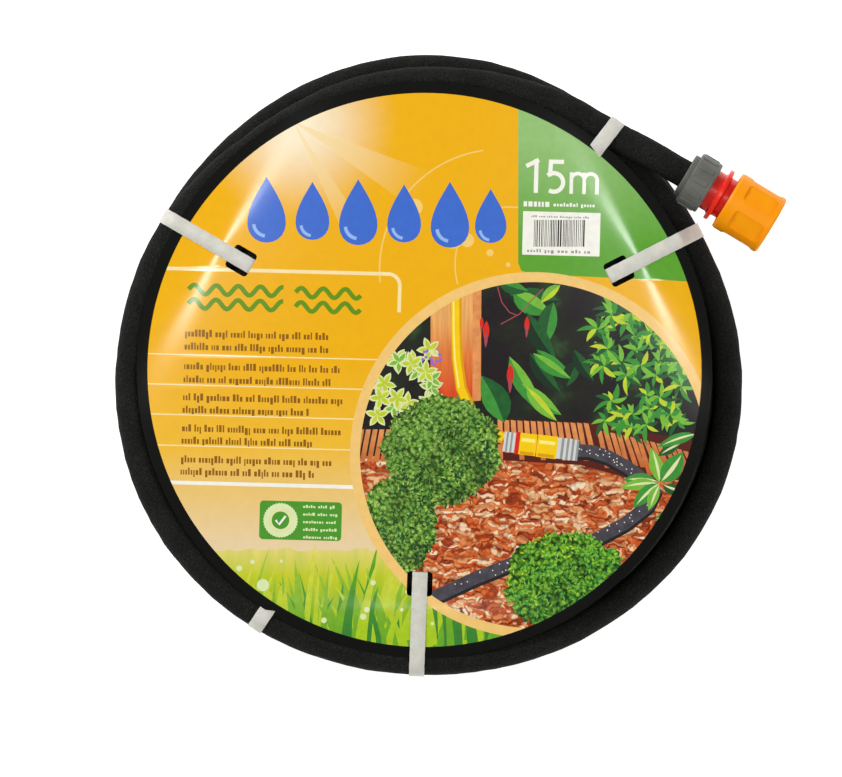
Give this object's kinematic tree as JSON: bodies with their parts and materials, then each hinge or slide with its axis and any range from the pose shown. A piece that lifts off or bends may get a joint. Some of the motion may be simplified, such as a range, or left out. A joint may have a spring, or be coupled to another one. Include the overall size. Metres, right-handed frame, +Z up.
{
  "type": "soaker hose",
  "caption": "Porous rubber soaker hose wound into a flat coil, strapped to a round display card, with a quick connector on its tail and a closed end plug.",
  "frame": {"origin": "on the coil's axis, level with the underside that it lies on", "axes": "+Z up along the coil's axis, through the card; +X towards the side where the connector stands out; +Y completes it, and the tail leaves the coil in the +X +Y quarter"},
  "size_m": [0.3967, 0.3686, 0.0768],
  "materials": {
    "hose": "rough crumb rubber, matt",
    "card": "laminated printed board, glossy front",
    "strap": "translucent milky strap, satin",
    "grey_plastic": "fine satin texture",
    "collet": "natural plastic, satin",
    "red_plastic": "glossy moulding",
    "orange_plastic": "semi-gloss soft moulding",
    "spring": "drawn stainless wire",
    "restrictor": "natural plastic disc"
  },
  "bodies": {
    "hose_pack": {"hose_coil": "hose", "hose_tail": "hose", "hose_end_run": "hose", "display_card": "card", "card_strap_1": "strap", "card_strap_2": "strap", "card_strap_3": "strap", "coil_tie_1": "strap", "coil_tie_2": "strap", "connector_body": "red_plastic", "connector_spring": "spring", "flow_restrictor": "restrictor", "end_stop_plug": "red_plastic"},
    "connector_collet": {"connector_collet": "collet"},
    "connector_nut": {"connector_nut": "grey_plastic"},
    "connector_sleeve": {"connector_sleeve": "orange_plastic"},
    "end_stop_collet": {"end_stop_collet": "collet"},
    "end_stop_nut": {"end_stop_nut": "grey_plastic"},
    "connector_jaw_1": {"connector_jaw_1": "grey_plastic"},
    "connector_jaw_2": {"connector_jaw_2": "grey_plastic"},
    "connector_jaw_3": {"connector_jaw_3": "grey_plastic"},
    "connector_jaw_4": {"connector_jaw_4": "grey_plastic"}
  },
  "joints": [
    {"name": "connector_collet_slide", "type": "slide", "parent": "hose_pack", "child": "connector_collet", "axis": [-0.8572, 0.515, 0], "range_m": [0, 0.005]},
    {"name": "connector_nut_turn", "type": "hinge", "parent": "connector_collet", "child": "connector_nut", "pos_m": [0.1523, 0.115, 0.05845], "axis": [-0.8572, 0.515, 0], "range_deg": [0, 720]},
    {"name": "sleeve_slide", "type": "slide", "parent": "hose_pack", "child": "connector_sleeve", "axis": [-0.8572, 0.515, 0], "range_m": [0, 0.004], "stiffness_N_per_m": 1500, "springref_m": -0.004, "deforming": ["connector_spring"]},
    {"name": "jaw_slide_1", "type": "slide", "parent": "hose_pack", "child": "connector_jaw_1", "axis": [-0.3642, -0.6061, 0.7071], "range_m": [0, 0.001]},
    {"name": "jaw_slide_2", "type": "slide", "parent": "hose_pack", "child": "connector_jaw_2", "axis": [-0.3642, -0.6061, -0.7071], "range_m": [0, 0.001]},
    {"name": "jaw_slide_3", "type": "slide", "parent": "hose_pack", "child": "connector_jaw_3", "axis": [0.3642, 0.6061, -0.7071], "range_m": [0, 0.001]},
    {"name": "jaw_slide_4", "type": "slide", "parent": "hose_pack", "child": "connector_jaw_4", "axis": [0.3642, 0.6061, 0.7071], "range_m": [0, 0.001]},
    {"name": "end_stop_collet_slide", "type": "slide", "parent": "hose_pack", "child": "end_stop_collet", "axis": [-0.5299, -0.848, 0], "range_m": [0, 0.005]},
    {"name": "end_stop_nut_turn", "type": "hinge", "parent": "end_stop_collet", "child": "end_stop_nut", "pos_m": [0.0833, -0.0264, 0.01695], "axis": [-0.5299, -0.848, 0], "range_deg": [0, 720]}
  ],
  "couplings": [
    {"joint": "connector_collet_slide", "follows": "connector_nut_turn", "m_per_rad": 0.00039789},
    {"joint": "jaw_slide_1", "follows": "sleeve_slide", "ratio": 0.25},
    {"joint": "jaw_slide_2", "follows": "sleeve_slide", "ratio": 0.25},
    {"joint": "jaw_slide_3", "follows": "sleeve_slide", "ratio": 0.25},
    {"joint": "jaw_slide_4", "follows": "sleeve_slide", "ratio": 0.25},
    {"joint": "end_stop_collet_slide", "follows": "end_stop_nut_turn", "m_per_rad": 0.00039789}
  ]
}
